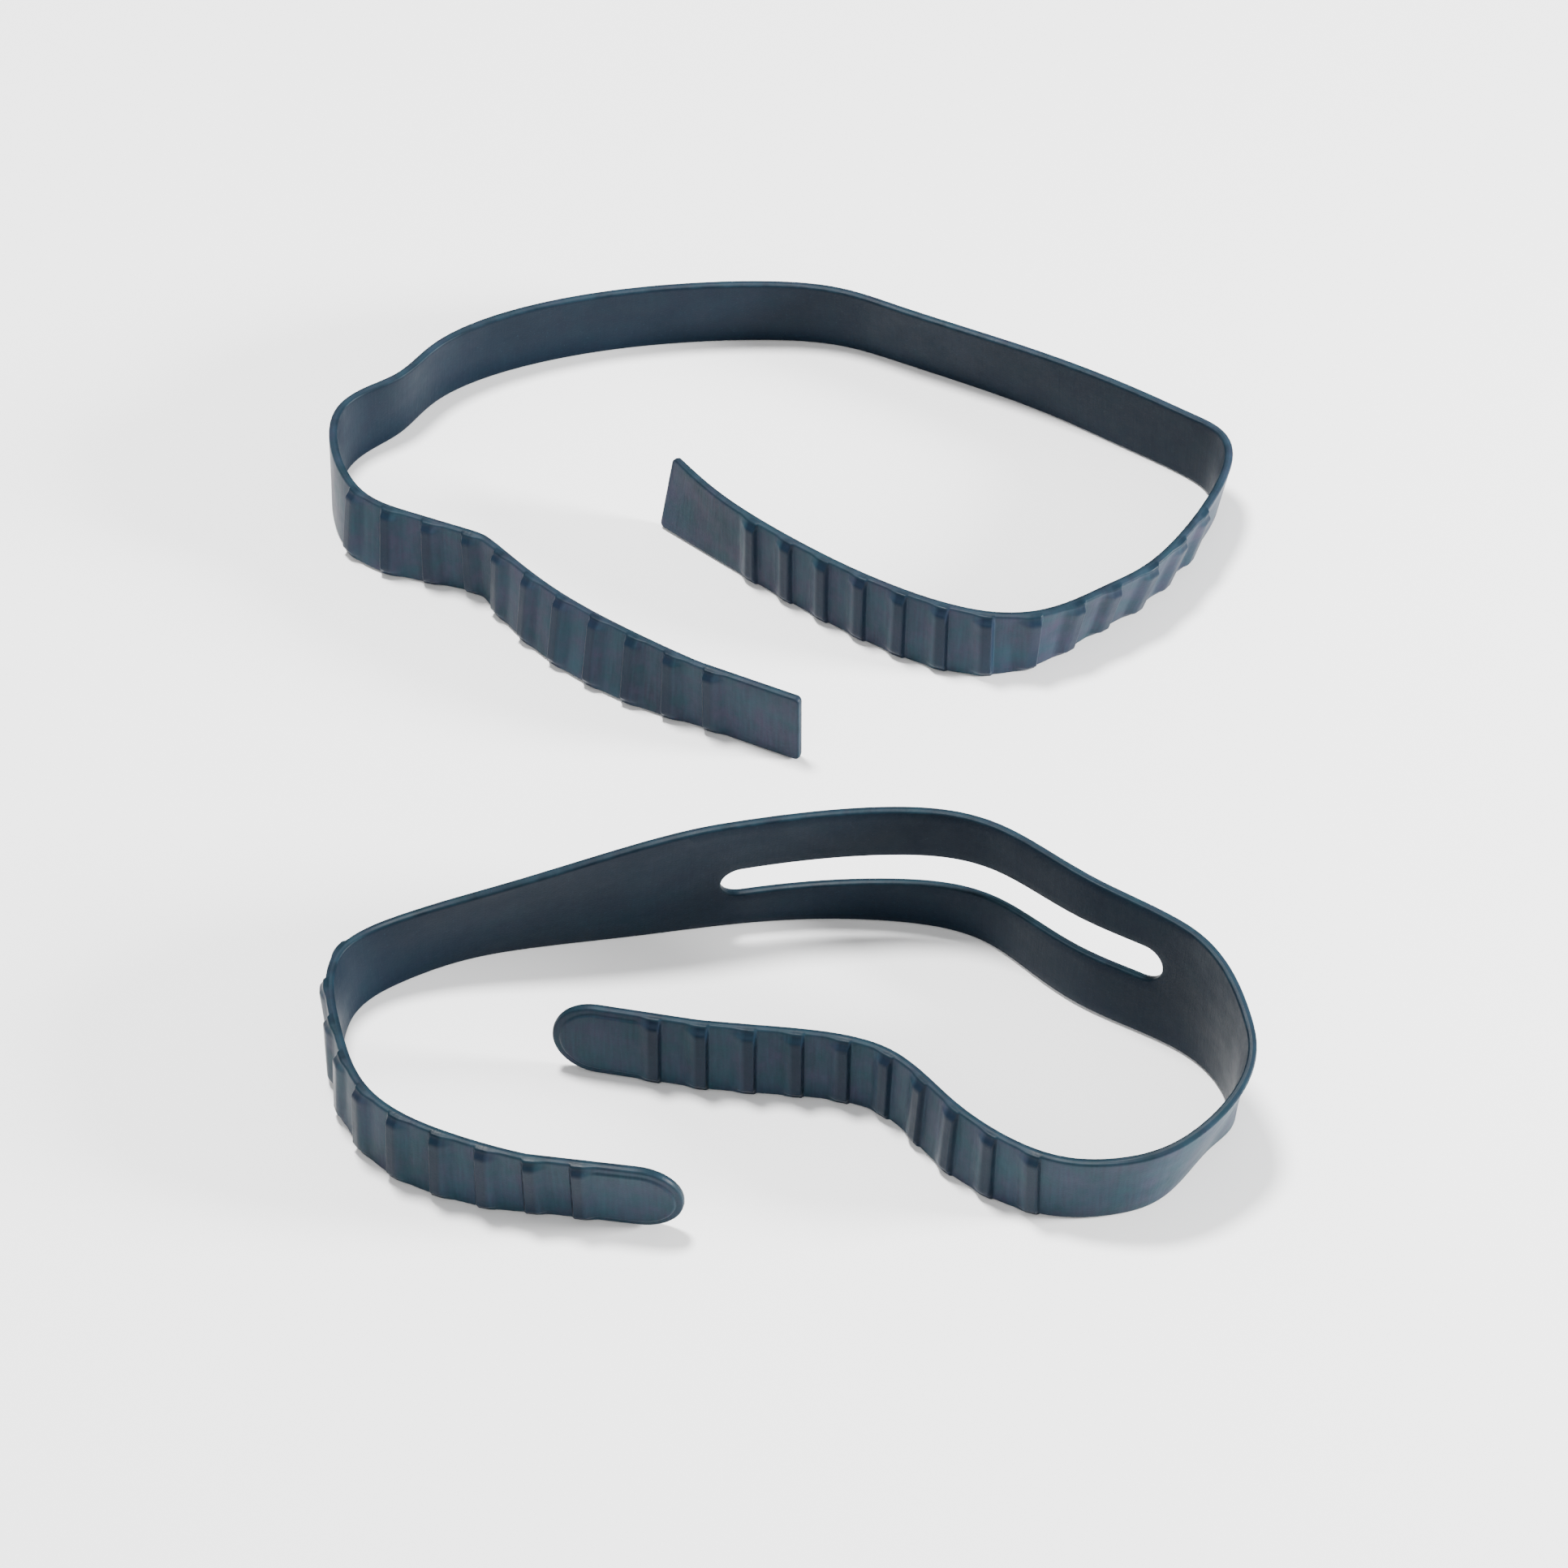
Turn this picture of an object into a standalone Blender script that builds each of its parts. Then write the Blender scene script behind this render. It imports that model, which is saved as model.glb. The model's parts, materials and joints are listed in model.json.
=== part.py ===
"""A pair of moulded rubber adjusting straps, standing on edge as two open loops.

The plain strap keeps one width and has square ends. The split strap has round tips and a wide
back with one long slot. Both carry rows of cross ribs on the outer face of their tails, for a
ladder buckle. Each strap is one moulding; here it is divided where it flexes, into a back, two
sides and two tails, which turn on upright axes in place of the rubber's bending.
Metres, +Z up, origin at the centre of the set on the floor.
"""
import math

import bmesh
import bpy
from mathutils import Vector

MM = 0.001

# Driving dimensions
STRAP_WIDTH = 20 * MM
STRAP_THICKNESS = 2 * MM
RIB_HEIGHT = 1.5 * MM
RIB_CREST = 2.6 * MM
RIB_FLANK = 0.4 * MM
RIB_PITCH = 10.5 * MM
BACK_WIDTH = 37 * MM
SLOT_WIDTH = 9.5 * MM
SLOT_LENGTH = 108 * MM
SLOT_SHIFT = -2 * MM
SLOT_RISE = 5.4 * MM
TAPER_START = 120 * MM
TAPER_END = 205 * MM
TIP_FLAT = 0.15 * MM
FLEX_GAP = 1.2 * MM
SET_CENTRE = Vector((-0.95 * MM, 9.45 * MM))

STATION_STEP = 3 * MM
SPLINE_STEPS = 24
TIP_STEP_DEG = 15
CUTTER_REACH = 6 * MM

RUBBER_COLOUR = (0.040, 0.062, 0.090, 1.0)
RUBBER_ROUGHNESS = 0.55

# Control points of each strap's middle line, from the left tail round the back to the right
# tail: x and y in millimetres, and the lean of the top edge out of the loop in degrees.
PLAIN_LINE = [
    (-1, 11, 11), (-20, 19, 0), (-37, 28, -11), (-56, 42, -9), (-70, 60, -2), (-71, 62, 5),
    (-89, 68, -4), (-105, 74, -9), (-111, 107, 5), (-92, 115, -6), (-87, 128, -7),
    (-68, 140, -5), (-35, 149, -5), (10, 151, -5), (26, 142, -9), (61, 126, -7), (83, 112, 0),
    (98, 102, -3), (110, 92, 10), (87, 54, 18), (75, 48, 18), (60, 35, 10), (41, 35, -5),
    (22, 45, -2), (6, 56, 0), (-15, 73, 0), (-27, 86, -12), (-38, 98, -30),
]
SPLIT_LINE = [
    (-50, -124, 20), (-50, -129, 4), (-80, -120, -5), (-93, -108, -1), (-98, -92, -4),
    (-101, -67, 11), (-80, -57, -5), (-64, -53, -12), (-33, -49, -8), (-1, -42, -6), (31, -41, 1),
    (49, -47, 2), (65, -66, 8), (93, -79, 3), (101, -101, -2), (96, -111, 22), (84, -126, 14),
    (71, -129, 9), (54, -128, 1), (34, -114, -8), (24, -95, -1), (-1, -92, -4), (-24, -90, -4),
    (-25, -87, 0),
]


class Strap:
    """One strap as a line to sweep along, with its widths, ribs and flex places."""

    def __init__(self, name, line, tails, first_ribs, rib_counts, flexes, split):
        self.name = name
        self.split = split
        self.trace(line, tails)
        left = [first_ribs[0] + i * RIB_PITCH for i in range(rib_counts[0])]
        right = [self.length - first_ribs[1] - i * RIB_PITCH for i in range(rib_counts[1])]
        self.ribs = left + right[::-1]
        self.flexes = [flexes[0], flexes[1], self.length - flexes[2], self.length - flexes[3]]

    def trace(self, line, tails):
        """Read the spline into closely spaced points, with straight tails at both ends."""
        points = spline_points(line)
        first = (points[1] - points[0]).to_2d().normalized()
        last = (points[-1] - points[-2]).to_2d().normalized()
        head = Vector((*(points[0].to_2d() - first * tails[0]), points[0].z))
        tail = Vector((*(points[-1].to_2d() + last * tails[1]), points[-1].z))
        self.points = [head] + points + [tail]
        self.reach = [0.0]
        for before, after in zip(self.points, self.points[1:]):
            self.reach.append(self.reach[-1] + (after - before).to_2d().length)
        self.length = self.reach[-1]

    def at(self, place):
        """Plan point and lean at a distance along the strap."""
        index = 1
        while index < len(self.reach) - 1 and self.reach[index] < place:
            index += 1
        start, end = self.reach[index - 1], self.reach[index]
        return self.points[index - 1].lerp(self.points[index], (place - start) / (end - start))

    def outward(self, place):
        """Horizontal unit vector that points out of the loop."""
        near = max(place - 1 * MM, 0.0)
        far = min(place + 1 * MM, self.length)
        along = (self.at(far) - self.at(near)).to_2d().normalized()
        return Vector((-along.y, along.x, 0.0))

    def full_width(self, place):
        """Width without the rounding of the tips."""
        if not self.split:
            return STRAP_WIDTH
        from_end = min(place, self.length - place)
        share = min(max((from_end - TAPER_START) / (TAPER_END - TAPER_START), 0.0), 1.0)
        share = share * share * (3 - 2 * share)
        return STRAP_WIDTH + (BACK_WIDTH - STRAP_WIDTH) * share

    def half_width(self, place):
        """Half the width, running down to nothing at a round tip."""
        half = self.full_width(place) / 2
        from_end = min(place, self.length - place)
        if self.split and from_end < half:
            half = math.sqrt(half ** 2 - (half - from_end) ** 2)
        return half

    def rib_rise(self, place):
        """Height of the ribs above the outer face."""
        rise = 0.0
        for rib in self.ribs:
            past_crest = abs(place - rib) - RIB_CREST / 2
            rise = max(rise, RIB_HEIGHT * min(1.0, 1.0 - past_crest / RIB_FLANK))
        return rise

    def axes(self, place):
        """Middle point, out-facing normal and width direction of the leaning strap."""
        spot = self.at(place)
        lean = math.radians(spot.z)
        flat = self.outward(place)
        up = flat * math.sin(lean) + Vector((0, 0, math.cos(lean)))
        normal = flat * math.cos(lean) - Vector((0, 0, math.sin(lean)))
        outer_foot = (STRAP_THICKNESS / 2 + RIB_HEIGHT) * math.sin(lean)
        inner_foot = -STRAP_THICKNESS / 2 * math.sin(lean)
        height = self.full_width(place) / 2 * math.cos(lean) + max(outer_foot, inner_foot)
        plan = spot.to_2d() - SET_CENTRE
        return Vector((plan.x, plan.y, height)), normal, up

    def section(self, place):
        """Four corners of the strap, in order round the cross-section."""
        middle, normal, up = self.axes(place)
        half = self.half_width(place)
        inner = -STRAP_THICKNESS / 2
        outer = STRAP_THICKNESS / 2 + self.rib_rise(place)
        return [middle + normal * depth + up * side
                for depth, side in ((inner, -half), (outer, -half), (outer, half), (inner, half))]

    def stations(self, start, end):
        """Places to put a cross-section: an even step, rib edges and a round tip's steps."""
        exact = [start, end]
        for rib in self.ribs:
            crest, foot = RIB_CREST / 2, RIB_CREST / 2 + RIB_FLANK
            exact += [rib + edge for edge in (-foot, -crest, crest, foot)
                      if start < rib + edge < end]
        if self.split:
            radius = STRAP_WIDTH / 2
            for step in range(TIP_STEP_DEG * 2, 91, TIP_STEP_DEG):
                from_end = radius * (1 - math.cos(math.radians(step)))
                exact += [place for place in (from_end, self.length - from_end)
                          if start < place < end]
        count = round((end - start) / STATION_STEP)
        even = [start + (end - start) * i / count for i in range(1, count)]
        even = [place for place in even
                if min(abs(place - other) for other in exact) > STATION_STEP / 3]
        return sorted(exact + even)


def spline_points(line):
    """Uniform cubic B-spline through a list of control points, in metres and degrees."""
    controls = [Vector((x * MM, y * MM, lean)) for x, y, lean in line]
    points = []
    for index in range(len(controls) - 3):
        a, b, c, d = controls[index:index + 4]
        for step in range(SPLINE_STEPS):
            t = step / SPLINE_STEPS
            points.append((a * (1 - t) ** 3 + b * (3 * t ** 3 - 6 * t ** 2 + 4)
                           + c * (-3 * t ** 3 + 3 * t ** 2 + 3 * t + 1) + d * t ** 3) / 6)
    points.append((controls[-3] + controls[-2] * 4 + controls[-1]) / 6)
    return points


def clear_scene():
    for item in list(bpy.data.objects):
        bpy.data.objects.remove(item, do_unlink=True)


def rubber(name):
    material = bpy.data.materials.new(name)
    material.use_nodes = True
    shader = material.node_tree.nodes["Principled BSDF"]
    shader.inputs["Base Color"].default_value = RUBBER_COLOUR
    shader.inputs["Roughness"].default_value = RUBBER_ROUGHNESS
    shader.inputs["Metallic"].default_value = 0.0
    material.diffuse_color = RUBBER_COLOUR
    return material


def loft(name, sections, origin):
    """Closed solid through a row of four-cornered sections."""
    mesh = bmesh.new()
    rings = [[mesh.verts.new(corner - origin) for corner in corners] for corners in sections]
    for ring, following in zip(rings, rings[1:]):
        for side in range(4):
            after = (side + 1) % 4
            mesh.faces.new((ring[side], ring[after], following[after], following[side]))
    mesh.faces.new(rings[0][::-1])
    mesh.faces.new(rings[-1])
    bmesh.ops.recalc_face_normals(mesh, faces=mesh.faces)
    data = bpy.data.meshes.new(name)
    mesh.to_mesh(data)
    mesh.free()
    data.shade_smooth()
    data.set_sharp_from_angle(angle=math.radians(30))
    item = bpy.data.objects.new(name, data)
    item.location = origin
    bpy.context.collection.objects.link(item)
    return item


def link(strap, part, start, end, hinge, parent):
    """One stretch of a strap, with its origin on the axis it turns about."""
    name = f"{strap.name}_{part}"
    origin = Vector((0, 0, 0))
    if hinge is not None:
        spot = strap.at(hinge).to_2d() - SET_CENTRE
        origin = Vector((spot.x, spot.y, 0))
    item = loft(name, [strap.section(place) for place in strap.stations(start, end)], origin)
    item.data.materials.append(rubber(f"{name}_rubber"))
    if parent is not None:
        item.parent = parent
        item.location = origin - parent_origin(parent)
    return item


def parent_origin(item):
    """World place of an object whose parents are only moved, never turned."""
    place = item.location.copy()
    while item.parent is not None:
        item = item.parent
        place += item.location
    return place


def cut_slot(strap, back):
    """Long slot with round ends through the back, a little higher towards the right."""
    middle, radius = strap.length / 2 + SLOT_SHIFT, SLOT_WIDTH / 2
    first, last = middle - SLOT_LENGTH / 2, middle + SLOT_LENGTH / 2
    ends = [radius * (1 - math.cos(math.radians(step))) for step in range(10, 91, 10)]
    count = round((SLOT_LENGTH - SLOT_WIDTH) / STATION_STEP)
    straight = [first + radius + (SLOT_LENGTH - SLOT_WIDTH) * i / count for i in range(1, count)]
    places = [first + end for end in ends] + straight + [last - end for end in ends[::-1]]
    sections = []
    for place in places:
        point, normal, up = strap.axes(place)
        from_end = min(place - first, last - place)
        half = radius
        if from_end < radius:
            half = math.sqrt(radius ** 2 - (radius - from_end) ** 2)
        point = point + up * SLOT_RISE * (place - middle) / SLOT_LENGTH
        sections.append([point + normal * depth + up * side
                         for depth, side in ((-CUTTER_REACH, -half), (CUTTER_REACH, -half),
                                             (CUTTER_REACH, half), (-CUTTER_REACH, half))])
    cutter = loft("slot_cutter", sections, Vector((0, 0, 0)))
    cutter.hide_render = True
    cutter.display_type = "WIRE"
    cut = back.modifiers.new("slot", "BOOLEAN")
    cut.operation = "DIFFERENCE"
    cut.solver = "EXACT"
    cut.object = cutter


def build_strap(strap):
    """Back, sides and tails of one strap, each tail riding on its side."""
    tail_left, side_left, side_right, tail_right = strap.flexes
    half_gap = FLEX_GAP / 2
    ends = TIP_FLAT if strap.split else 0.0
    back = link(strap, "back", side_left + half_gap, side_right - half_gap, None, None)
    left = link(strap, "left_side", tail_left + half_gap, side_left - half_gap, side_left, back)
    link(strap, "left_tail", ends, tail_left - half_gap, tail_left, left)
    right = link(strap, "right_side", side_right + half_gap, tail_right - half_gap,
                 side_right, back)
    link(strap, "right_tail", tail_right + half_gap, strap.length - ends, tail_right, right)
    return back


def make_straps():
    plain = Strap("plain_strap", PLAIN_LINE, tails=(26 * MM, 1 * MM),
                  first_ribs=(23 * MM, 29 * MM), rib_counts=(11, 13),
                  flexes=(80.75 * MM, 150 * MM, 185 * MM, 86.75 * MM), split=False)
    split = Strap("split_strap", SPLIT_LINE, tails=(34 * MM, 31 * MM),
                  first_ribs=(23 * MM, 23 * MM), rib_counts=(10, 10),
                  flexes=(80.75 * MM, 129 * MM, 176 * MM, 112.25 * MM), split=True)
    return plain, split


def main():
    clear_scene()
    plain, split = make_straps()
    build_strap(plain)
    cut_slot(split, build_strap(split))


main()
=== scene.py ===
"""The looks of the strap set: two moulded rubber straps, each one continuous surface.

The fixed frame divides each strap at four flex places. Here every strap is made whole, with its
rounded edges, ribs, tip pads and slot, and is then parted halfway between the flex places. Each
of the four pieces spans one joint, and meets its neighbours with no visible seam.
"""
import json
import math

import bpy
import numpy as np
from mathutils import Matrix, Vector


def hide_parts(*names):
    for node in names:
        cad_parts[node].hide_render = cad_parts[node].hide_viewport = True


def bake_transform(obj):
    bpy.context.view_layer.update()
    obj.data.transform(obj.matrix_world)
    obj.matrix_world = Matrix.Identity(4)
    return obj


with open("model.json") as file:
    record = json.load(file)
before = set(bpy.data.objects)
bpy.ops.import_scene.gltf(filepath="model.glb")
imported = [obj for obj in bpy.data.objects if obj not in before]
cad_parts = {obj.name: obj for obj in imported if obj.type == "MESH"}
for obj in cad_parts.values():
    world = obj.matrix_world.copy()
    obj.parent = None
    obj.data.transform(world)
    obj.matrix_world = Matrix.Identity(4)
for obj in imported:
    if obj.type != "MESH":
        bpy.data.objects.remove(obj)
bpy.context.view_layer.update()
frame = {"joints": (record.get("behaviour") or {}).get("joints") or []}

MM = 0.001

# The straps' sizes, as in the fixed frame
STRAP_WIDTH = 20 * MM
HALF_THICK = 1 * MM
RIB_HEIGHT = 1.5 * MM
RIB_PITCH = 10.5 * MM
BACK_WIDTH = 37 * MM
SLOT_WIDTH = 9.5 * MM
SLOT_LENGTH = 108 * MM
SLOT_SHIFT = -2 * MM
SLOT_RISE = 5.4 * MM
TAPER_START = 120 * MM
TAPER_END = 205 * MM
SET_CENTRE = np.array((-0.95, 9.45)) * MM

# Fine shape
EDGE_RADIUS = 0.5 * MM
PARTING_LINE = 0.08 * MM
SQUARE_CORNER = 1.3 * MM
RIB_CREST = 0.9 * MM
RIB_STEEP = 0.8 * MM
RIB_SLOPE = 3.6 * MM
RIB_END_SHARE = 0.35
RIB_END_REACH = 1.9 * MM
# How the painted shade on each rib fades past its crest
RIB_SHADE_FADE = 1.0 * MM
PAD_HEIGHT = 0.35 * MM
PAD_INSET = 1.5 * MM
PAD_FLANK = 0.5 * MM
CREASE_SOFTNESS = 0.1 * MM
BLEND_REACH = 11 * MM
SHARP_ANGLE = 55

# Mesh density
SPLINE_STEPS = 24
RIM_ANGLES = (30, 60, 90)
CORNER_ANGLES = (22.5, 45, 67.5, 90)
LAND_STEP = 1.5 * MM
EDGE_STEPS = np.array((0, 0.5, 0.95, 1.1, 1.3, 1.5, 1.9, 2.6)) * MM
RIB_STEPS = np.array((-2.2, -1.8, -1.65, -1.5, -1.35, -1.2, -1.05, -0.9, -0.7, 0, 0.6, 0.9,
                      1.4, 1.9, 2.5, 3.1, 3.7, 4.3, 4.9)) * MM
CUT_STEP = 0.1 * MM
CORE_COLUMNS = 8
TIP_STEPS = 12
SLOT_RINGS = 6
SLOT_ARC_STEPS = 7
SLOT_MARGIN = 7 * MM

# Rubber: noise scales in features per metre, the share of each pattern and of the painted shade, and
# its height
CLOUD_SCALE = 40
BLOTCH_SCALE = 160
WEAR_SCALE = 220
SMEAR_SCALE = 90
SPECK_SCALE = 2600
STREAK_SCALE = (1500, 120, 300)
GRAIN_SCALE = 2200
WAVE_SCALE = 110
HAZE_GAIN = 1.6
DEEP_GAIN = 0.2
CLOUD_SHARE = 0.7
BLOTCH_SHARE = 0.6
STREAK_SHARE = 0.22
# Shares of the painted shade on the ribs and on the rounded edges
RIB_SHADE_SHARE = 0.7
EDGE_SHADE_SHARE = 0.5
WEAR_SHARE = 0.2
SPECK_SHARE = 0.25
SMOOTHEST, ROUGHEST = 0.36, 0.5
BAR_POLISH = 0.08
GRAIN_HEIGHT = 0.05 * MM
WAVE_HEIGHT = 0.35 * MM
STREAK_HEIGHT = 0.03 * MM

# Camera and surroundings
CAMERA_ELEVATION = 47
CAMERA_DISTANCE = 1.4
CAMERA_LENS = 139.6
SENSOR_WIDTH = 36
SKY_STRENGTH = 0.7
FLOOR_HALF = 6.0
FLOOR_DROP = 0.2 * MM

# Middle line of each strap: x and y in millimetres and lean in degrees, as in the fixed frame
PLAIN_LINE = [
    (-1, 11, 11), (-20, 19, 0), (-37, 28, -11), (-56, 42, -9), (-70, 60, -2), (-71, 62, 5),
    (-89, 68, -4), (-105, 74, -9), (-111, 107, 5), (-92, 115, -6), (-87, 128, -7),
    (-68, 140, -5), (-35, 149, -5), (10, 151, -5), (26, 142, -9), (61, 126, -7), (83, 112, 0),
    (98, 102, -3), (110, 92, 10), (87, 54, 18), (75, 48, 18), (60, 35, 10), (41, 35, -5),
    (22, 45, -2), (6, 56, 0), (-15, 73, 0), (-27, 86, -12), (-38, 98, -30),
]
SPLIT_LINE = [
    (-50, -124, 20), (-50, -129, 4), (-80, -120, -5), (-93, -108, -1), (-98, -92, -4),
    (-101, -67, 11), (-80, -57, -5), (-64, -53, -12), (-33, -49, -8), (-1, -42, -6), (31, -41, 1),
    (49, -47, 2), (65, -66, 8), (93, -79, 3), (101, -101, -2), (96, -111, 22), (84, -126, 14),
    (71, -129, 9), (54, -128, 1), (34, -114, -8), (24, -95, -1), (-1, -92, -4), (-24, -90, -4),
    (-25, -87, 0),
]


# ------------------------------------------------------------ the strap as a line to sweep along

def smoothstep(share):
    share = np.clip(share, 0, 1)
    return share * share * (3 - 2 * share)


class Strap:
    """A strap's path, widths, ribs and cuts, as functions of the distance along it."""

    def __init__(self, name, line, tails, first_ribs, rib_counts, cuts, split):
        self.name = name
        self.split = split
        self.corner = STRAP_WIDTH / 2 if split else SQUARE_CORNER
        self.trace(np.array(line, float) * (MM, MM, 1), tails)
        left = first_ribs[0] + RIB_PITCH * np.arange(rib_counts[0])
        right = self.length - first_ribs[1] - RIB_PITCH * np.arange(rib_counts[1])
        self.ribs = np.concatenate([left, right[::-1]])
        self.pad_end = first_ribs[0] if split else 0
        self.cuts = [cuts[0], cuts[1], self.length - cuts[2]]

    def trace(self, controls, tails):
        """Reads the uniform cubic B-spline into points, with straight tails at both ends."""
        t = np.linspace(0, 1, SPLINE_STEPS, endpoint=False)[:, None]
        weights = ((1 - t) ** 3, 3 * t ** 3 - 6 * t ** 2 + 4,
                   -3 * t ** 3 + 3 * t ** 2 + 3 * t + 1, t ** 3)
        spans = [sum(weight * controls[i + k] for k, weight in enumerate(weights)) / 6
                 for i in range(len(controls) - 3)]
        last = (controls[-3] + 4 * controls[-2] + controls[-1]) / 6
        points = np.concatenate(spans + [last[None]])
        head = points[0] + self.away(points[0], points[1]) * tails[0]
        tail = points[-1] + self.away(points[-1], points[-2]) * tails[1]
        self.points = np.concatenate([head[None], points, tail[None]])
        lengths = np.linalg.norm(np.diff(self.points[:, :2], axis=0), axis=1)
        self.reach = np.concatenate([[0], np.cumsum(lengths)])
        self.length = self.reach[-1]

    @staticmethod
    def away(end, inner):
        """Unit step from an inner point to an end point in plan, with the lean unchanged."""
        step = (end - inner) * (1, 1, 0)
        return step / np.linalg.norm(step)

    def spot(self, place):
        """Plan point and lean, carried on straight past both ends."""
        inside = np.clip(place, 0, self.length)
        found = np.stack([np.interp(inside, self.reach, self.points[:, i]) for i in range(3)], -1)
        before = np.maximum(-place, 0)[:, None]
        beyond = np.maximum(place - self.length, 0)[:, None]
        return (found + before * self.away(self.points[0], self.points[1])
                + beyond * self.away(self.points[-1], self.points[-2]))

    def direction(self, place):
        """Unit vector along the strap in plan, towards its right end."""
        step = (self.spot(place + MM) - self.spot(place - MM))[:, :2]
        return step / np.linalg.norm(step, axis=1, keepdims=True)

    def full_width(self, place):
        """Width without the rounding of the tips."""
        if not self.split:
            return np.full(np.shape(place), STRAP_WIDTH)
        from_end = np.minimum(place, self.length - place)
        share = smoothstep((from_end - TAPER_START) / (TAPER_END - TAPER_START))
        return STRAP_WIDTH + (BACK_WIDTH - STRAP_WIDTH) * share

    def axes(self, place):
        """Middle point, out-facing normal and width direction of the leaning strap."""
        along, spot = self.direction(place), self.spot(place)
        sine = np.sin(np.radians(spot[:, 2:]))
        cosine = np.cos(np.radians(spot[:, 2:]))
        flat = np.stack([-along[:, 1], along[:, 0]], -1)
        up = np.concatenate([flat * sine, cosine], 1)
        normal = np.concatenate([flat * cosine, -sine], 1)
        outer_foot = (HALF_THICK + RIB_HEIGHT) * sine
        inner_foot = -HALF_THICK * sine
        lower = (outer_foot + inner_foot + np.hypot(outer_foot - inner_foot, CREASE_SOFTNESS)) / 2
        height = self.full_width(place)[:, None] / 2 * cosine + lower
        return np.concatenate([spot[:, :2] - SET_CENTRE, height], 1), normal, up

    def half_flat(self, place):
        """Half the width of the flat face, between the rounded edges."""
        half = float(self.full_width(place)) / 2 - EDGE_RADIUS
        radius = self.corner - EDGE_RADIUS
        short = self.corner - min(place, self.length - place)
        if short > 0:
            half += math.sqrt(max(radius ** 2 - short ** 2, 0)) - radius
        return half

    def past_rib(self, place):
        """Distance from the nearest rib's middle, positive towards the strap's nearer end."""
        gaps = (self.ribs - place[:, None]) * np.where(self.ribs < self.length / 2, 1, -1)
        near = np.where(gaps > -RIB_PITCH / 3, np.abs(gaps), np.abs(gaps) + RIB_PITCH / 3)
        return np.take_along_axis(gaps, near.argmin(1)[:, None], 1)[:, 0]

    def bar(self, place):
        """How far a place belongs to a rib's steep flank and crest, from 0 to 1: where painted shade
        goes.
        """
        past = self.past_rib(place)
        steep = smoothstep((past + RIB_CREST + RIB_STEEP) / (0.4 * RIB_STEEP))
        return steep * smoothstep((RIB_CREST + RIB_SHADE_FADE - past) / RIB_SHADE_FADE)

    def relief(self, place, side):
        """Height of ribs and tip pads above the outer face."""
        past = self.past_rib(place)
        rise = np.where(past < 0, (past + RIB_CREST + RIB_STEEP) / RIB_STEEP,
                        (RIB_CREST + RIB_SLOPE - past) / RIB_SLOPE)
        half = self.full_width(place) / 2 - EDGE_RADIUS
        ends = smoothstep((half - np.abs(side)) / RIB_END_REACH)
        rib = RIB_HEIGHT * smoothstep(rise) * (RIB_END_SHARE + (1 - RIB_END_SHARE) * ends)
        if not self.split:
            return rib
        from_end = np.minimum(place, self.length - place)
        short = np.maximum(self.corner - from_end, 0)
        inset = self.corner - np.hypot(short, side) - EDGE_RADIUS
        pad = PAD_HEIGHT * smoothstep((inset - PAD_INSET + PAD_FLANK) / PAD_FLANK)
        return np.maximum(rib, pad * (from_end < self.pad_end))

    def slot_middle(self, place):
        """Height of the slot's middle line on the strap's width."""
        return SLOT_RISE * (place - self.length / 2 - SLOT_SHIFT) / SLOT_LENGTH

    def place(self, flat):
        """Real points from flat ones: along the strap, up its width, out from its middle."""
        middle, normal, up = self.axes(flat[:, 0])
        return middle + up * flat[:, 1:2] + normal * flat[:, 2:3]


# ------------------------------------------------------------ the flat layout of a strap's face

class Layout:
    """Quads in (distance along the strap, height on its width)."""

    def __init__(self):
        self.spots = []
        self.index = {}
        self.faces = []

    def vertex(self, place, side):
        key = (round(place / MM, 4), round(side / MM, 4))
        if key not in self.index:
            self.index[key] = len(self.spots)
            self.spots.append((place, side))
        return self.index[key]

    def grid(self, rows):
        """Quads between rows that run upwards, each further along the strap."""
        ids = [[self.vertex(*point) for point in row] for row in rows]
        for near, far in zip(ids, ids[1:]):
            for i in range(len(near) - 1):
                self.faces.append((near[i], far[i], far[i + 1], near[i + 1]))


def open_loops(faces):
    """Ordered loops of the edges that only one face has, in that face's direction."""
    single = {}
    for face in faces:
        for edge in zip(face, face[1:] + face[:1]):
            if edge[::-1] in single:
                del single[edge[::-1]]
            else:
                single[edge] = True
    after = dict(single.keys())
    loops = []
    while after:
        at = next(iter(after))
        loop = []
        while at in after:
            loop.append(at)
            at = after.pop(at)
        loops.append(loop)
    return loops


def column_sides(half):
    """Heights of a row's points: close together near the edges, even in between."""
    edge = half - EDGE_STEPS
    core = np.linspace(-edge[-1], edge[-1], CORE_COLUMNS + 1)
    return np.concatenate([-edge[:-1], core, edge[-2::-1]])


def plain_row(strap, place):
    return [(place, side) for side in column_sides(strap.half_flat(place))]


def corner_rows(strap, along):
    """Rows over a square end with small round corners, from the end inwards."""
    radius = strap.corner - EDGE_RADIUS
    flat = STRAP_WIDTH / 2 - strap.corner
    rows = []
    for degrees in CORNER_ANGLES:
        from_end = strap.corner - radius * math.cos(math.radians(degrees))
        row = plain_row(strap, from_end)
        if not rows:
            over = [max(abs(side) - flat, 0) for _, side in row]
            row = [(strap.corner - math.sqrt(max(radius ** 2 - far ** 2, 0)), side)
                   for far, (_, side) in zip(over, row)]
        rows.append([(along(depth), side) for depth, side in row])
    return rows


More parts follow.
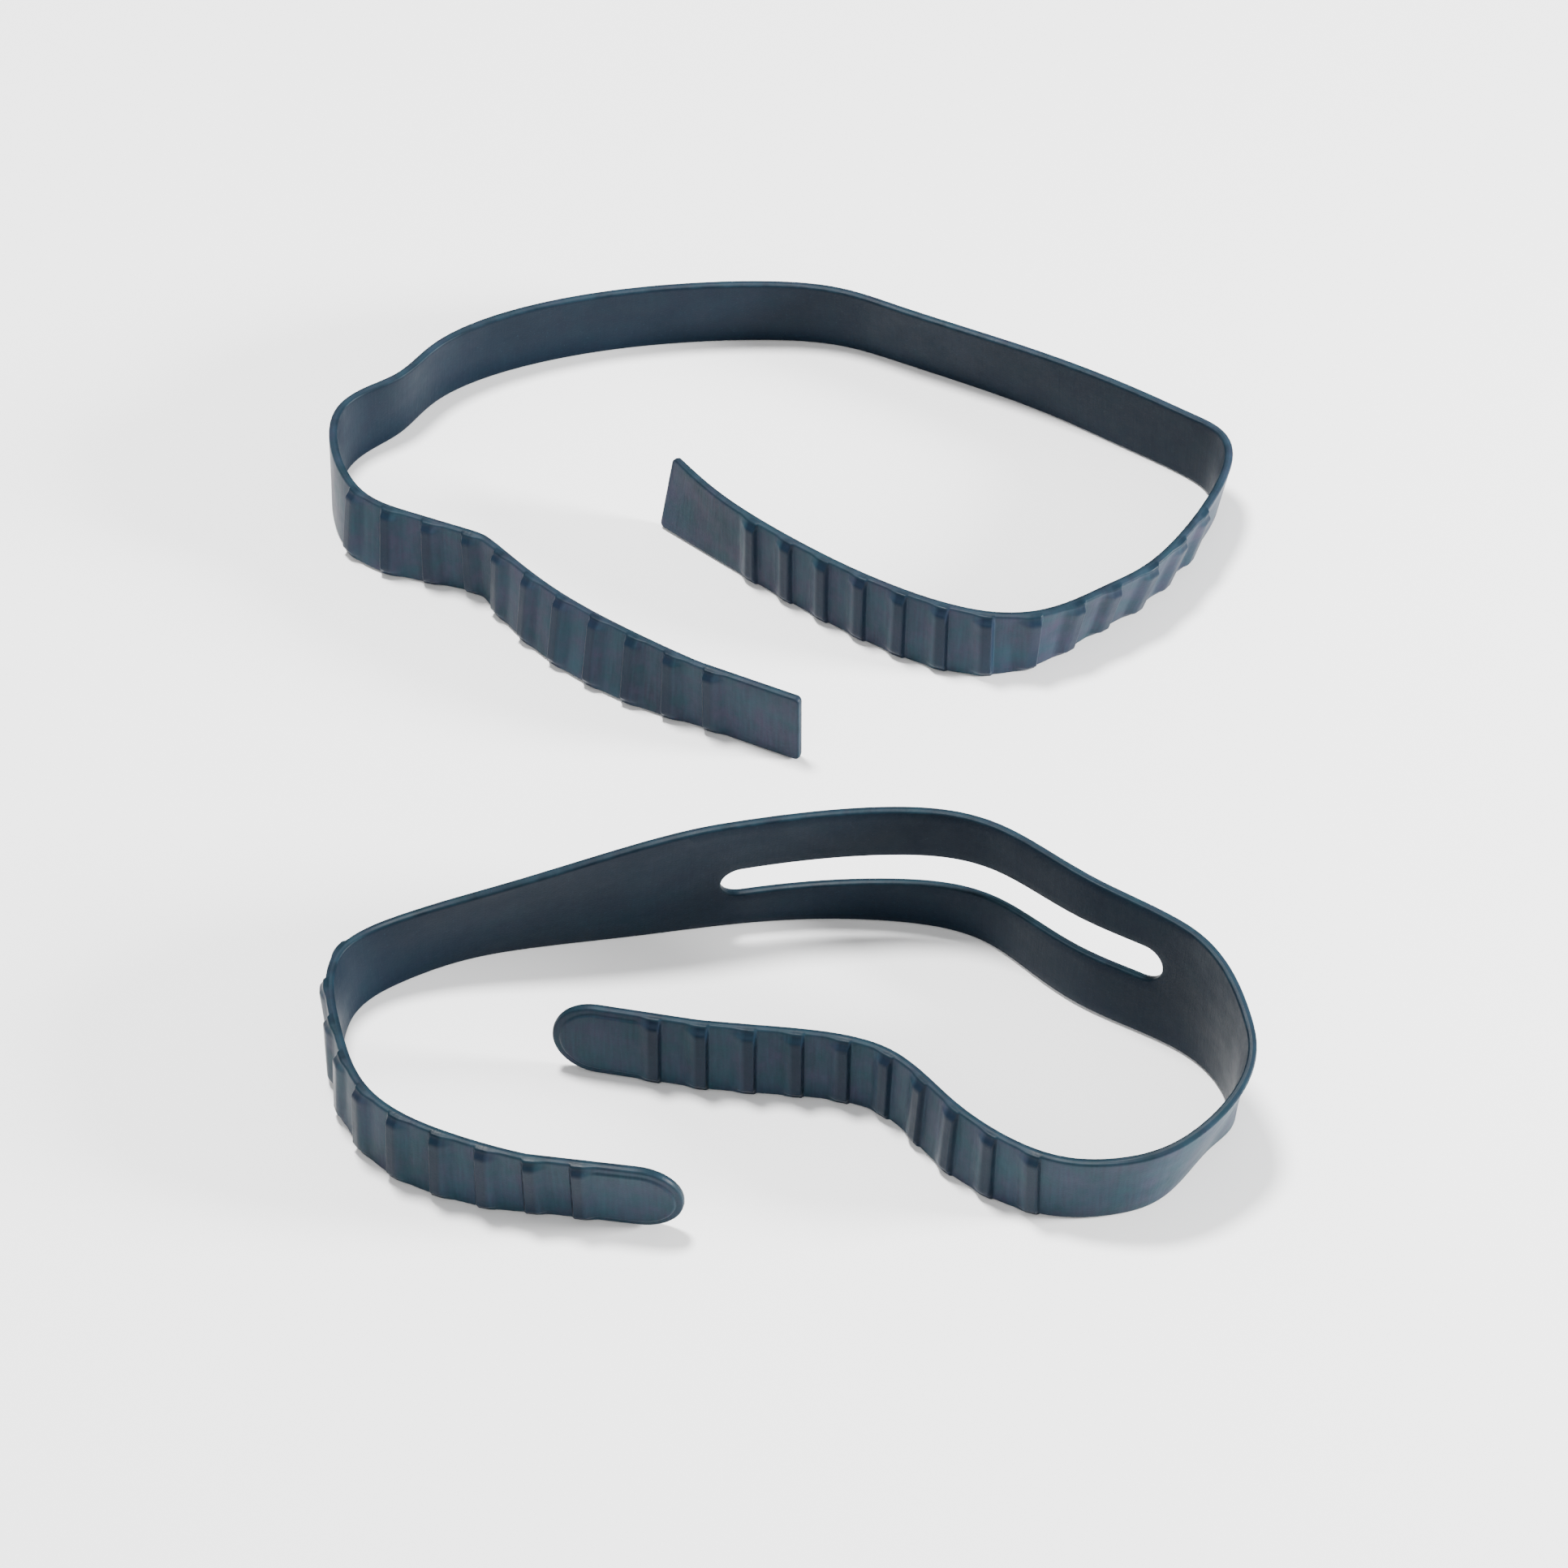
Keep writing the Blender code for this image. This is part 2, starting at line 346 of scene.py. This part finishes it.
def tongue_blocks(layout, strap, along, at_start):
    """A round tip: a band that follows the outline, and a core inside it."""
    rings = strap.corner - EDGE_RADIUS - EDGE_STEPS
    core = rings[-1]
    angles = [math.pi / 2 * step / TIP_STEPS for step in range(1, TIP_STEPS + 1)]
    first = core * math.sin(angles[0])
    small = [math.asin(side / core) for side in np.linspace(-first, first, CORE_COLUMNS + 1)]
    around = [-angle for angle in angles[:0:-1]] + small + angles[1:]
    band = [[(along(strap.corner - radius * math.cos(angle)), radius * math.sin(angle))
             for angle in around] for radius in rings]
    rows = [[(along(strap.corner - core * math.cos(angle)), core * math.sin(angle))
             for angle in small]]
    for angle in angles[1:]:
        place = along(strap.corner - core * math.cos(angle))
        reach = core * math.sin(angle)
        rows.append([(place, side) for side in np.linspace(-reach, reach, CORE_COLUMNS + 1)])
    for block in (band, rows):
        layout.grid(block if at_start else block[::-1])


def body_places(strap, start, end):
    """Places of the rows: finely over each rib, beside each cut, evenly over the rest."""
    exact = {start, end}
    for rib in strap.ribs:
        towards_end = -1 if rib < strap.length / 2 else 1
        exact.update(rib + towards_end * step for step in RIB_STEPS)
    for cut in strap.cuts:
        exact.update(cut + step for step in (-CUT_STEP, 0, CUT_STEP))
    exact = sorted(place for place in exact if start <= place <= end)
    places = []
    for near, far in zip(exact, exact[1:]):
        count = max(1, round((far - near) / LAND_STEP))
        places += [near + (far - near) * i / count for i in range(count)]
    return places + [end]


def fan(inner, outer):
    """Rows of points spread between two rows."""
    inner, outer = np.array(inner), np.array(outer)
    return [[tuple(point) for point in inner + (outer - inner) * ring / SLOT_RINGS]
            for ring in range(SLOT_RINGS + 1)]


def slot_blocks(layout, strap):
    """Four blocks of quads round the slot; returns the places where they end."""
    middle = strap.length / 2 + SLOT_SHIFT
    radius = SLOT_WIDTH / 2 + EDGE_RADIUS
    straight = (SLOT_LENGTH - SLOT_WIDTH) / 2
    reach = straight + radius + SLOT_MARGIN

    def arc(centre, degrees):
        place = centre + radius * math.cos(math.radians(degrees))
        return place, radius * math.sin(math.radians(degrees)) + strap.slot_middle(place)

    for sign in (-1, 1):
        inner = [arc(middle - straight, sign * (135 - 45 * i / SLOT_ARC_STEPS))
                 for i in range(SLOT_ARC_STEPS)]
        outer = [middle - reach + (reach - straight) * i / SLOT_ARC_STEPS
                 for i in range(SLOT_ARC_STEPS)]
        count = round(2 * straight / LAND_STEP)
        for i in range(count + 1):
            place = middle - straight + 2 * straight * i / count
            inner.append((place, sign * radius + strap.slot_middle(place)))
            outer.append(place)
        for i in range(1, SLOT_ARC_STEPS + 1):
            inner.append(arc(middle + straight, sign * (90 - 45 * i / SLOT_ARC_STEPS)))
            outer.append(middle + straight + (reach - straight) * i / SLOT_ARC_STEPS)
        outer = [(place, sign * strap.half_flat(place)) for place in outer]
        across = fan(inner, outer) if sign > 0 else fan(inner, outer)[::-1]
        layout.grid([list(column) for column in zip(*across)])
        side_row = plain_row(strap, middle + sign * reach)
        count = len(side_row) - 1
        turn = [-45 + 90 * i / count for i in range(count + 1)]
        inner = [arc(middle + sign * straight, angle if sign > 0 else 180 - angle)
                 for angle in turn]
        along = fan(inner, side_row)
        layout.grid(along if sign > 0 else along[::-1])
    return middle - reach, middle + reach


def strap_layout(strap):
    """The whole flat face of one strap, from the left end to the right end."""
    layout = Layout()

    def from_right(depth):
        return strap.length - depth

    first, last = strap.corner, strap.length - strap.corner
    if strap.split:
        tongue_blocks(layout, strap, float, True)
        tongue_blocks(layout, strap, from_right, False)
        near, far = slot_blocks(layout, strap)
        layout.grid([plain_row(strap, place) for place in body_places(strap, first, near)])
        layout.grid([plain_row(strap, place) for place in body_places(strap, far, last)])
    else:
        layout.grid(corner_rows(strap, float))
        layout.grid([plain_row(strap, place) for place in body_places(strap, first, last)])
        layout.grid(corner_rows(strap, from_right)[::-1])
    return layout


# ------------------------------------------------------------ the solid strap and its pieces

def rim_profile(top):
    """Rings round the edge from the outer face to the inner: reach outwards and depth."""
    for degrees in RIM_ANGLES:
        angle = math.radians(degrees)
        yield EDGE_RADIUS * math.sin(angle), top - EDGE_RADIUS * (1 - math.cos(angle))
    for reach, depth in ((0, 2), (1, 0), (0, -2)):
        yield EDGE_RADIUS + reach * PARTING_LINE, np.full_like(top, depth * PARTING_LINE)
    for degrees in RIM_ANGLES[::-1]:
        angle = math.radians(degrees)
        depth = -HALF_THICK + EDGE_RADIUS * (1 - math.cos(angle))
        yield EDGE_RADIUS * math.sin(angle), np.full_like(top, depth)


def solid(strap):
    """A closed mesh of the whole strap in flat space.

    Gives points, faces, edge amounts and, for each point, how far along the strap its spot is.
    """
    layout = strap_layout(strap)
    spots = np.array(layout.spots)
    count = len(spots)
    top = HALF_THICK + strap.relief(spots[:, 0], spots[:, 1])
    points = [np.column_stack([spots, top]), np.column_stack([spots, np.full(count, -HALF_THICK)])]
    edges = [np.zeros(2 * count)]
    homes = [spots[:, 0], spots[:, 0]]
    faces = []
    for face in layout.faces:
        faces.append(face[::-1])
        faces.append(tuple(i + count for i in face))
    total = 2 * count
    for loop in open_loops(layout.faces):
        line = spots[loop]
        before, after = line - np.roll(line, 1, 0), np.roll(line, -1, 0) - line
        along = (before / (before ** 2).sum(1, keepdims=True)
                 + after / (after ** 2).sum(1, keepdims=True))
        along /= np.linalg.norm(along, axis=1, keepdims=True)
        outwards = np.column_stack([along[:, 1], -along[:, 0]])
        rings = [loop]
        for reach, depth in rim_profile(top[loop]):
            points.append(np.column_stack([line + outwards * reach, depth]))
            edges.append(np.ones(len(loop)))
            homes.append(line[:, 0])
            rings.append(range(total, total + len(loop)))
            total += len(loop)
        rings.append([i + count for i in loop])
        for near, far in zip(rings, rings[1:]):
            for i in range(len(loop)):
                j = (i + 1) % len(loop)
                faces.append((near[i], near[j], far[j], far[i]))
    return np.concatenate(points), faces, np.concatenate(edges), np.concatenate(homes)


def parted(strap):
    """Each piece of the strap between its cuts, closed: flat points, faces, edge amounts."""
    flat, faces, edges, homes = solid(strap)
    middles = [np.mean(homes[list(face)]) for face in faces]
    limits = [-math.inf] + strap.cuts + [math.inf]
    for low, high in zip(limits, limits[1:]):
        own = [face for face, middle in zip(faces, middles) if low < middle < high]
        used = sorted({i for face in own for i in face})
        fresh = {old: new for new, old in enumerate(used)}
        own = [tuple(fresh[i] for i in face) for face in own]
        caps = [tuple(loop[::-1]) for loop in open_loops(own)]
        yield flat[used], own + caps, edges[used]


def make_piece(name, strap, part, material):
    """A mesh object that also keeps its place on the flat strap, for its material."""
    flat, faces, edges = part
    mesh = bpy.data.meshes.new(name)
    mesh.from_pydata(strap.place(flat).tolist(), [], faces)
    mesh.update()
    place = mesh.attributes.new("strap_place", "FLOAT_VECTOR", "POINT")
    place.data.foreach_set("vector", flat.astype(np.float32).ravel())
    # Rim mask: carries painted shade on the rounded edges, and their wear
    edge = mesh.attributes.new("edge", "FLOAT", "POINT")
    edge.data.foreach_set("value", edges.astype(np.float32))
    # Mask of the painted shade on the ribs' steep flanks and crests, on the outer face only
    bar = mesh.attributes.new("bar", "FLOAT", "POINT")
    rib_shade_amounts = strap.bar(flat[:, 0]) * (flat[:, 2] > 0)
    bar.data.foreach_set("value", rib_shade_amounts.astype(np.float32))
    mesh.shade_smooth()
    mesh.set_sharp_from_angle(angle=math.radians(SHARP_ANGLE))
    mesh.materials.append(material)
    item = bpy.data.objects.new(name, mesh)
    bpy.context.scene.collection.objects.link(item)
    return item


def bend(piece, strap, joint_name, towards_back):
    """Finds the joint of a piece's flex and the strap's direction there, and bakes the piece's
    transform.
    """
    joint = next(j for j in frame["joints"] if j["name"] == joint_name)
    hinge = np.array(joint["pos_m"])
    gaps = np.linalg.norm(strap.points[:, :2] - SET_CENTRE - hinge[:2], axis=1)
    along = strap.direction(strap.reach[[gaps.argmin()]])[0] * BLEND_REACH
    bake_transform(piece)


# ------------------------------------------------------------ material

class Nodes:
    """Short calls for one material's node tree."""

    def __init__(self, name):
        self.material = bpy.data.materials.new(name)
        self.material.use_nodes = True
        self.tree = self.material.node_tree
        self.shader = self.tree.nodes["Principled BSDF"]

    def add(self, kind, links=None, values=None, **settings):
        item = self.tree.nodes.new(kind)
        for key, value in settings.items():
            setattr(item, key, value)
        for key, value in (values or {}).items():
            item.inputs[key].default_value = value
        for key, source in (links or {}).items():
            self.tree.links.new(source, item.inputs[key])
        return item

    def feed(self, socket, value):
        if isinstance(value, bpy.types.NodeSocket):
            self.tree.links.new(value, socket)
        else:
            socket.default_value = value

    def noise(self, vector, scale, detail=3.0, roughness=0.5):
        values = {"Scale": scale, "Detail": detail, "Roughness": roughness}
        return self.add("ShaderNodeTexNoise", {"Vector": vector}, values).outputs["Fac"]

    def stretch(self, vector, scale):
        return self.add("ShaderNodeMapping", {"Vector": vector}, {"Scale": scale}).outputs[0]

    def ramp(self, value, low, high, start=0.0, end=1.0):
        values = {"From Min": low, "From Max": high, "To Min": start, "To Max": end}
        return self.add("ShaderNodeMapRange", {"Value": value}, values).outputs["Result"]

    def maths(self, operation, first, second):
        item = self.add("ShaderNodeMath", operation=operation)
        for socket, value in zip(item.inputs, (first, second)):
            self.feed(socket, value)
        return item.outputs[0]

    def mix(self, share, first, second):
        item = self.add("ShaderNodeMix", data_type="RGBA")
        for socket, value in zip((item.inputs[0], item.inputs[6], item.inputs[7]),
                                 (share, first, second)):
            self.feed(socket, value)
        return item.outputs[2]


def rubber(name, shift, land, inner_shade, bar, tint):
    """Satin rubber: mottled slate blue, painted shade on the ribs, the inner face and the rounded
    edges, and a moulded grain.
    """
    nodes = Nodes(name)
    raw = nodes.add("ShaderNodeAttribute", attribute_name="strap_place").outputs["Vector"]
    place = nodes.add("ShaderNodeVectorMath", {0: raw}, {1: (shift, 0, 0)}).outputs[0]
    depth = nodes.add("ShaderNodeSeparateXYZ", {0: raw}).outputs["Z"]
    # Rim mask, for painted shade on the edges and for wear
    edge = nodes.add("ShaderNodeAttribute", attribute_name="edge").outputs["Fac"]
    # Mask of the painted shade on the ribs, also used for their polish
    rib = nodes.add("ShaderNodeAttribute", attribute_name="bar").outputs["Fac"]
    # inner: 1 on the inner face, which gets painted shade
    inner = nodes.ramp(depth, 0, -HALF_THICK)

    clouds = nodes.ramp(nodes.noise(place, CLOUD_SCALE, 4, 0.6), 0.3, 0.7)
    blotches = nodes.ramp(nodes.noise(place, BLOTCH_SCALE, 4, 0.6), 0.35, 0.7)
    streaks = nodes.ramp(nodes.noise(nodes.stretch(place, STREAK_SCALE), 1, 3), 0.35, 0.75)
    specks = nodes.ramp(nodes.noise(place, SPECK_SCALE, 2), 0.66, 0.78)

    haze = tuple(HAZE_GAIN * c for c in land[:3]) + (1,)
    deep = tuple(DEEP_GAIN * c for c in land[:3]) + (1,)
    colour = nodes.mix(nodes.maths("MULTIPLY", clouds, CLOUD_SHARE), land, deep)
    colour = nodes.mix(nodes.maths("MULTIPLY", blotches, BLOTCH_SHARE), colour, tint)
    colour = nodes.mix(nodes.maths("MULTIPLY", streaks, STREAK_SHARE), colour, haze)
    # Painted shade: the inner face darkened, mottled by the clouds
    shade = nodes.maths("MULTIPLY", inner, nodes.ramp(clouds, 0, 1, 0.82, 0.97))
    colour = nodes.mix(shade, colour, inner_shade)
    # Painted shade: the ribs' steep flanks and crests darkened
    colour = nodes.mix(nodes.maths("MULTIPLY", rib, RIB_SHADE_SHARE), colour, bar)
    # Painted shade: the rounded edges darkened
    colour = nodes.mix(nodes.maths("MULTIPLY", edge, EDGE_SHADE_SHARE), colour, deep)
    worn = nodes.maths("MULTIPLY", edge, nodes.ramp(nodes.noise(place, WEAR_SCALE, 3), 0.35, 0.65))
    colour = nodes.mix(nodes.maths("MULTIPLY", worn, WEAR_SHARE), colour, haze)
    colour = nodes.mix(nodes.maths("MULTIPLY", specks, SPECK_SHARE), colour, haze)
    nodes.feed(nodes.shader.inputs["Base Color"], colour)

    smears = nodes.ramp(nodes.noise(place, SMEAR_SCALE, 5, 0.65), 0.3, 0.7, SMOOTHEST, ROUGHEST)
    rough = nodes.maths("SUBTRACT", smears, nodes.maths("MULTIPLY", rib, BAR_POLISH))
    nodes.feed(nodes.shader.inputs["Roughness"], rough)
    nodes.shader.inputs["Specular IOR Level"].default_value = 0.07
    nodes.shader.inputs["Sheen Weight"].default_value = 0.015
    nodes.shader.inputs["Sheen Roughness"].default_value = 0.4

    grain = nodes.noise(place, GRAIN_SCALE, 3)
    waves = nodes.noise(place, WAVE_SCALE, 2)
    height = nodes.maths("ADD", nodes.maths("MULTIPLY", grain, GRAIN_HEIGHT),
                         nodes.maths("MULTIPLY", waves, WAVE_HEIGHT))
    height = nodes.maths("ADD", height, nodes.maths("MULTIPLY", streaks, STREAK_HEIGHT))
    bump = nodes.add("ShaderNodeBump", {"Height": height}, {"Strength": 0.5, "Distance": 1.0})
    nodes.feed(nodes.shader.inputs["Normal"], bump.outputs[0])
    return nodes.material


# ------------------------------------------------------------ assembly

def build(strap, material):
    """The four pieces of a strap; the CAD nodes that each one covers are hidden."""
    plan = [("left_tail", "left_tail_flex", 1, ("left_tail", "left_side")),
            ("left_back", "left_side_flex", 1, ("left_side", "back")),
            ("right_back", "right_side_flex", -1, ("right_side", "back")),
            ("right_tail", "right_tail_flex", -1, ("right_tail", "right_side"))]
    for (part, joint, towards_back, nodes), mesh in zip(plan, parted(strap)):
        piece = make_piece(f"{strap.name}_rubber_{part}", strap, mesh, material)
        bend(piece, strap, f"{strap.name}_{joint}", towards_back)
        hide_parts(*(f"{strap.name}_strap_{node}" for node in nodes))


def make_straps():
    plain = Strap("plain", PLAIN_LINE, tails=(26 * MM, 1 * MM), first_ribs=(23 * MM, 29 * MM),
                  rib_counts=(11, 13), cuts=(112.25 * MM, 272 * MM, 139.25 * MM), split=False)
    split = Strap("split", SPLIT_LINE, tails=(34 * MM, 31 * MM), first_ribs=(23 * MM, 23 * MM),
                  rib_counts=(10, 10), cuts=(101.75 * MM, 180 * MM, 145 * MM), split=True)
    # Each strap's colours: land, painted shade on the inner face and on the ribs, and a blotch tint
    blue = rubber("plain_rubber", 0.0, land=(0.013, 0.033, 0.048, 1), inner_shade=(0.0004, 0.005, 0.012, 1),
                  bar=(0.003, 0.008, 0.018, 1), tint=(0.034, 0.025, 0.052, 1))
    build(plain, blue)
    teal = rubber("split_rubber", 3.7, land=(0.010, 0.030, 0.043, 1), inner_shade=(0.0004, 0.005, 0.012, 1),
                  bar=(0.002, 0.006, 0.014, 1), tint=(0.026, 0.023, 0.048, 1))
    build(split, teal)


def make_floor():
    mesh = bpy.data.meshes.new("floor")
    signs = ((-1, -1), (1, -1), (1, 1), (-1, 1))
    mesh.from_pydata([(x * FLOOR_HALF, y * FLOOR_HALF, -FLOOR_DROP) for x, y in signs],
                     [], [(0, 1, 2, 3)])
    floor = bpy.data.objects.new("floor", mesh)
    bpy.context.scene.collection.objects.link(floor)
    nodes = Nodes("floor_paint")
    nodes.shader.inputs["Base Color"].default_value = (0.93, 0.93, 0.93, 1)
    nodes.shader.inputs["Roughness"].default_value = 0.9
    mesh.materials.append(nodes.material)


def look_at(item, target):
    item.rotation_euler = (Vector(target) - item.location).to_track_quat("-Z", "Y").to_euler()


def soft_light(name, location, size, power):
    data = bpy.data.lights.new(name, "AREA")
    data.shape = "DISK"
    data.size = size
    data.energy = power
    item = bpy.data.objects.new(name, data)
    bpy.context.scene.collection.objects.link(item)
    item.location = location
    look_at(item, (0, 0, 0))


def make_studio():
    world = bpy.data.worlds.new("studio")
    bpy.context.scene.world = world
    world.use_nodes = True
    world.node_tree.nodes["Background"].inputs["Color"].default_value = (1, 1, 1, 1)
    world.node_tree.nodes["Background"].inputs["Strength"].default_value = SKY_STRENGTH
    soft_light("overhead", (-0.25, 0.25, 1.5), 0.3, 60)
    soft_light("right_key", (1.2, -0.15, 0.35), 0.3, 60)
    soft_light("front", (-0.3, -1.3, 0.9), 1.0, 7)


def make_camera():
    data = bpy.data.cameras.new("camera")
    data.lens = CAMERA_LENS
    data.sensor_width = SENSOR_WIDTH
    camera = bpy.data.objects.new("camera", data)
    bpy.context.scene.collection.objects.link(camera)
    target = Vector((-SET_CENTRE[0], -SET_CENTRE[1], 0))
    elevation = math.radians(CAMERA_ELEVATION)
    away = Vector((0, -math.cos(elevation), math.sin(elevation)))
    camera.location = target + CAMERA_DISTANCE * away
    look_at(camera, target)
    bpy.context.scene.camera = camera


make_straps()
make_floor()
make_studio()
make_camera()
